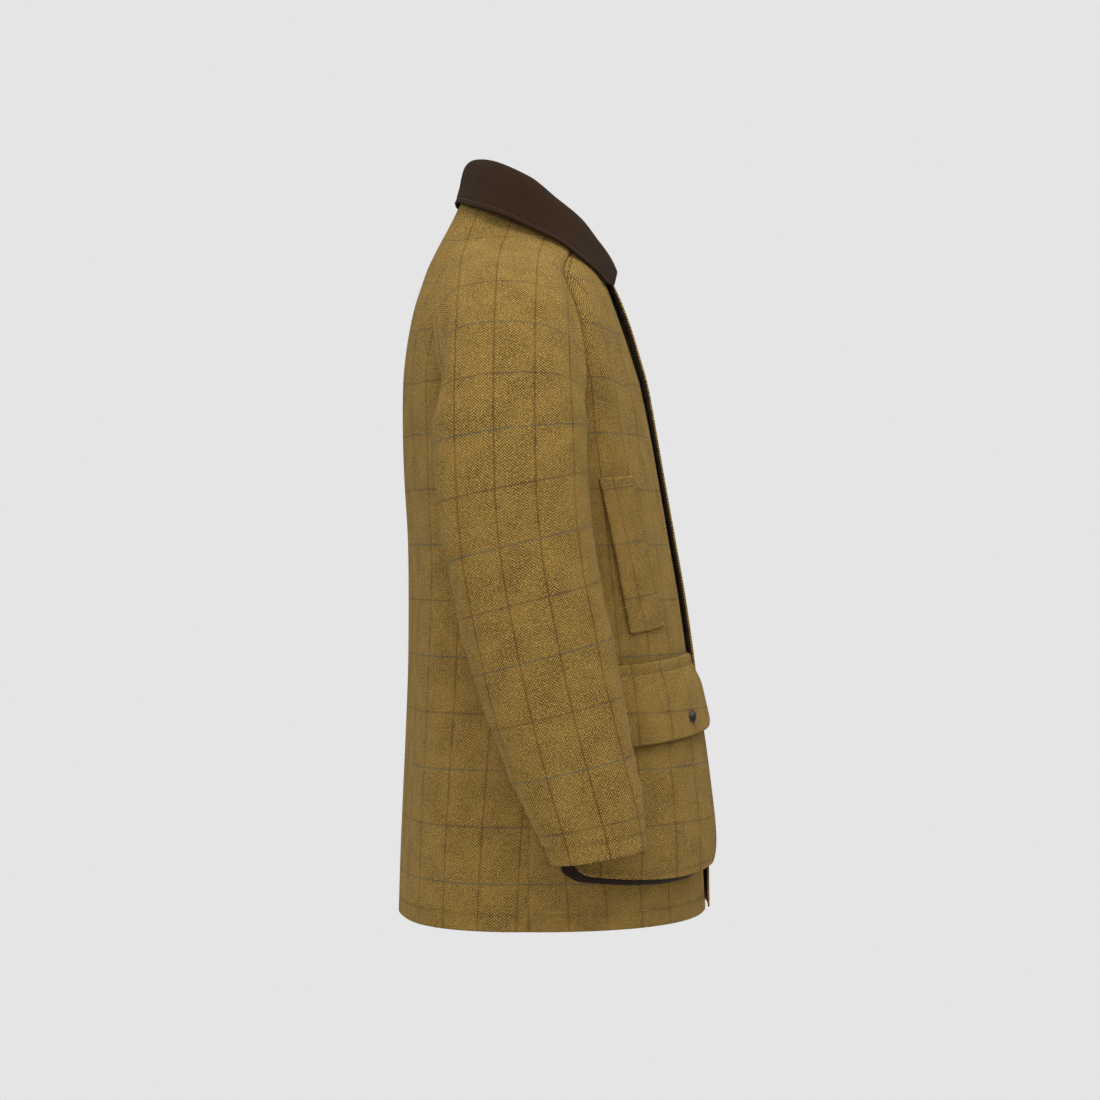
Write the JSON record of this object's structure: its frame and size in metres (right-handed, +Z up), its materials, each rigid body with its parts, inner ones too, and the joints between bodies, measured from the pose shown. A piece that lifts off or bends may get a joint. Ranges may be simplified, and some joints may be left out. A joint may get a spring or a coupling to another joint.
{
  "type": "tweed field coat",
  "caption": "Hip-length tweed field coat in its worn, hollow shape: raglan sleeves, corded turn-down collar, fly front, slanted welts and bellows pockets with flaps",
  "frame": {"origin": "middle of the neck base, level with the points where the neck meets the shoulders", "axes": "+Z up along the wearer's spine, -Y the way the coat faces, -X the coat's own right side"},
  "size_m": [0.6222, 0.3561, 0.8462],
  "materials": {
    "tweed": "mustard-green herringbone wool tweed with rust and blue-grey overcheck, matt",
    "needlecord": "very dark brown needlecord, matt with a soft sheen",
    "facing": "dark brown cotton facing and gusset cloth, matt",
    "gunmetal": "dull blue-grey gunmetal press stud"
  },
  "bodies": {
    "root": {"front_right": "tweed", "front_left": "tweed", "back": "tweed", "sleeve_right": "tweed", "sleeve_left": "tweed", "collar": "needlecord", "fly_flap": "tweed", "fly_facing": "facing", "fly_stud_1": "gunmetal", "fly_stud_2": "gunmetal", "fly_stud_3": "gunmetal", "fly_stud_4": "gunmetal", "fly_stud_5": "gunmetal", "welt_right": "tweed", "welt_left": "tweed", "pocket_front_right": "tweed", "pocket_front_left": "tweed", "pocket_gusset_right": "facing", "pocket_gusset_left": "facing", "pocket_flap_right": "tweed", "pocket_flap_left": "tweed", "flap_stud_front_right": "gunmetal", "flap_stud_rear_right": "gunmetal", "flap_stud_front_left": "gunmetal", "flap_stud_rear_left": "gunmetal"}
  },
  "joints": []
}
